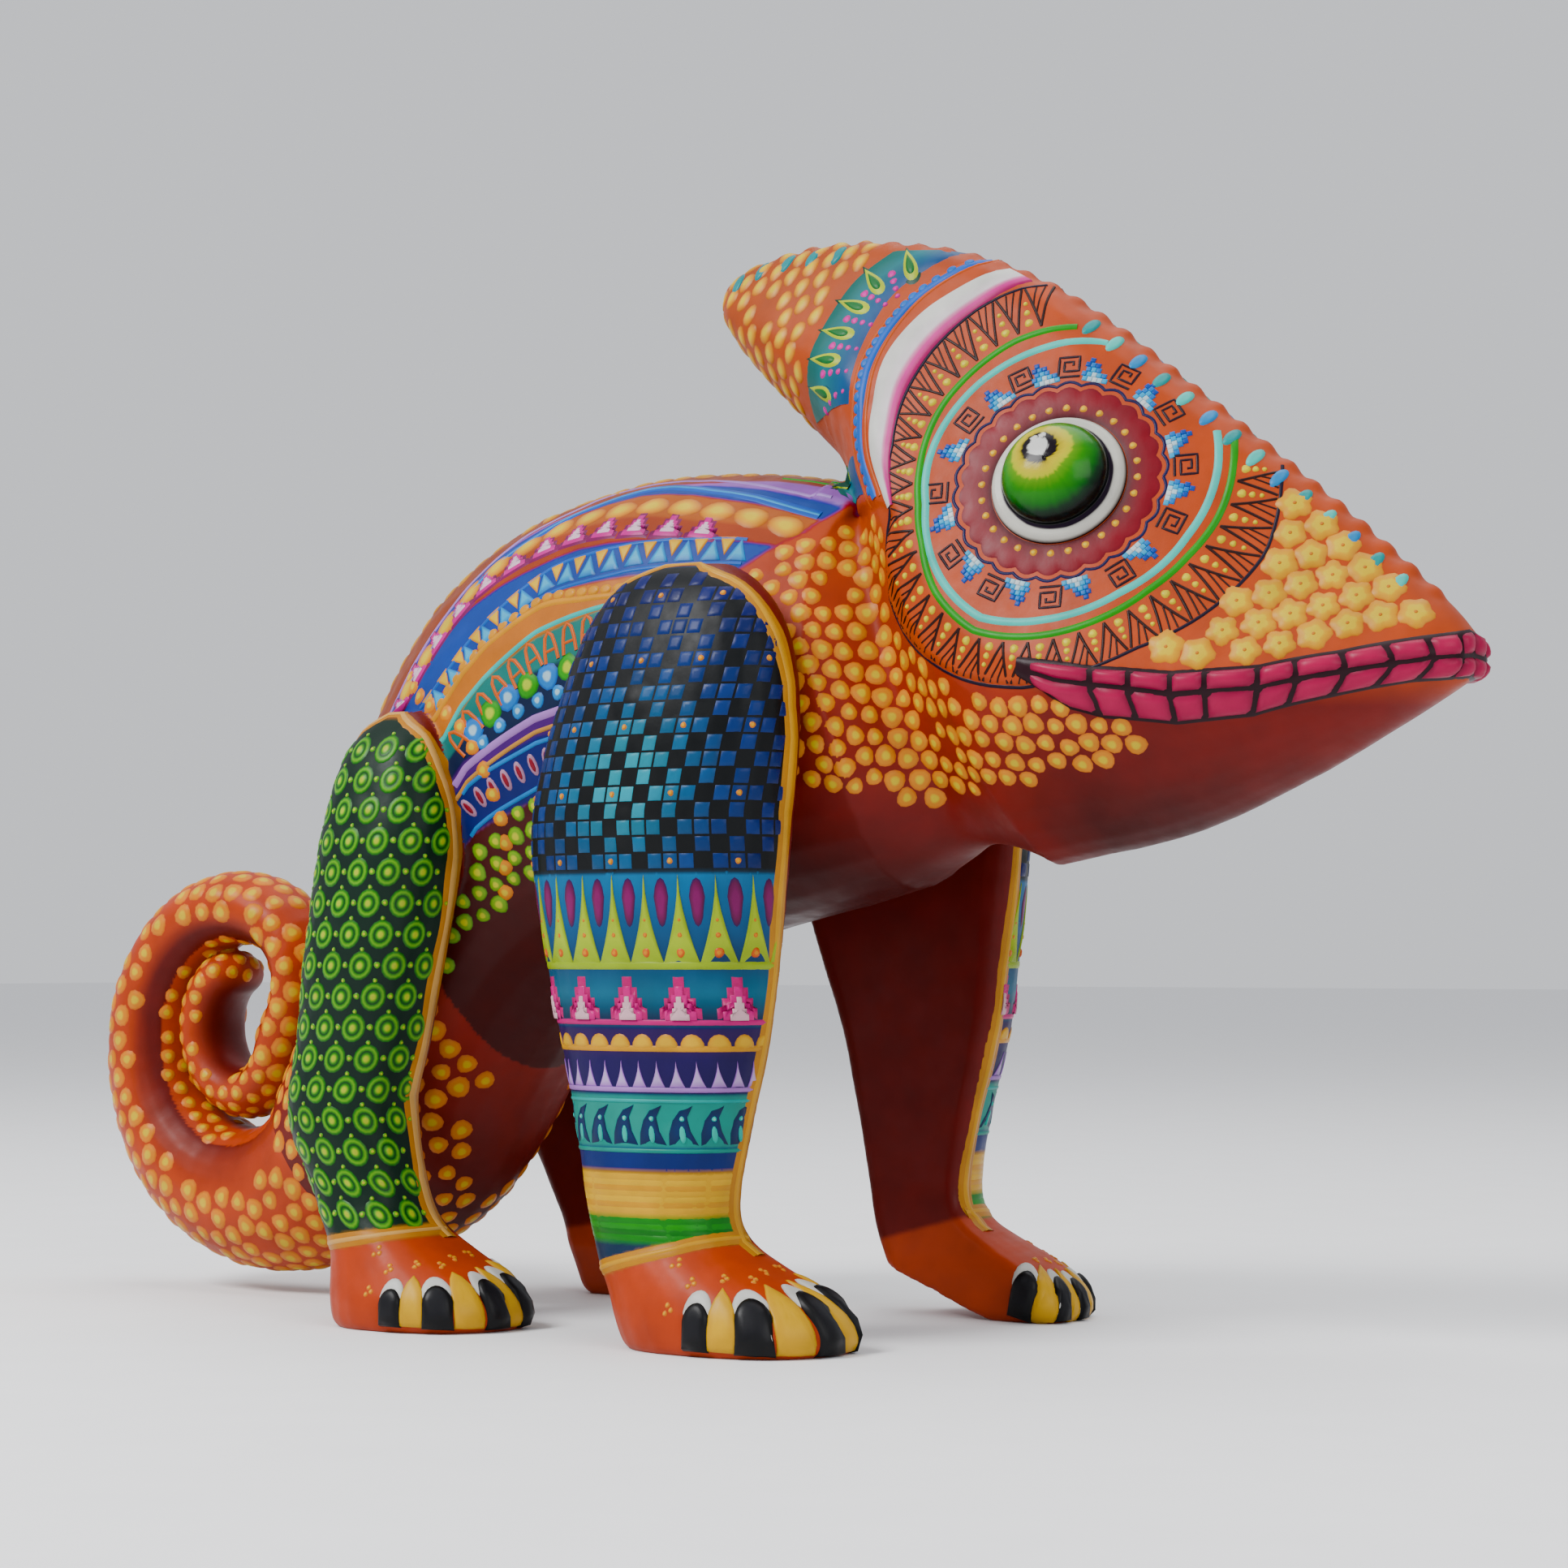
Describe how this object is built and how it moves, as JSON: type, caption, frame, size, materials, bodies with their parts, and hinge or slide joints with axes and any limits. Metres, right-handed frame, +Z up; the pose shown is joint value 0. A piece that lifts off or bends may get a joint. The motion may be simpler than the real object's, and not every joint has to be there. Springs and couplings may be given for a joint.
{
  "type": "alebrije figure",
  "caption": "Carved and painted wooden chameleon standing on four legs, with a crested wedge head, domed eyes and a spiral push-fit tail.",
  "frame": {"origin": "under the middle of the figure's length and width, on the surface that it stands on", "axes": "+X from tail to snout, +Y to the figure's left, +Z up"},
  "size_m": [0.2857, 0.0982, 0.1841],
  "materials": {
    "body_paint": "satin",
    "head_paint": "satin",
    "tail_paint": "satin",
    "front_leg_paint": "satin",
    "hind_leg_paint": "satin",
    "eye_paint": "gloss",
    "bare_wood": "matte",
    "filler_paste": "matte",
    "nail_steel": "satin"
  },
  "bodies": {
    "figure": {"torso": "body_paint", "head": "head_paint", "neck_dowel": "bare_wood", "eye_right": "eye_paint", "eye_left": "eye_paint", "leg_front_right": "front_leg_paint", "leg_front_left": "front_leg_paint", "leg_hind_right": "hind_leg_paint", "leg_hind_left": "hind_leg_paint", "nails_front_right": "nail_steel", "nails_front_left": "nail_steel", "nails_hind_right": "nail_steel", "nails_hind_left": "nail_steel", "filler_front_right": "filler_paste", "filler_front_left": "filler_paste", "filler_hind_right": "filler_paste", "filler_hind_left": "filler_paste"},
    "tail": {"tail": "tail_paint", "tail_peg": "bare_wood"}
  },
  "joints": [
    {"name": "tail_slide", "type": "slide", "parent": "figure", "child": "tail", "axis": [-1, 0, 0], "range_m": [0, 0.022]}
  ]
}
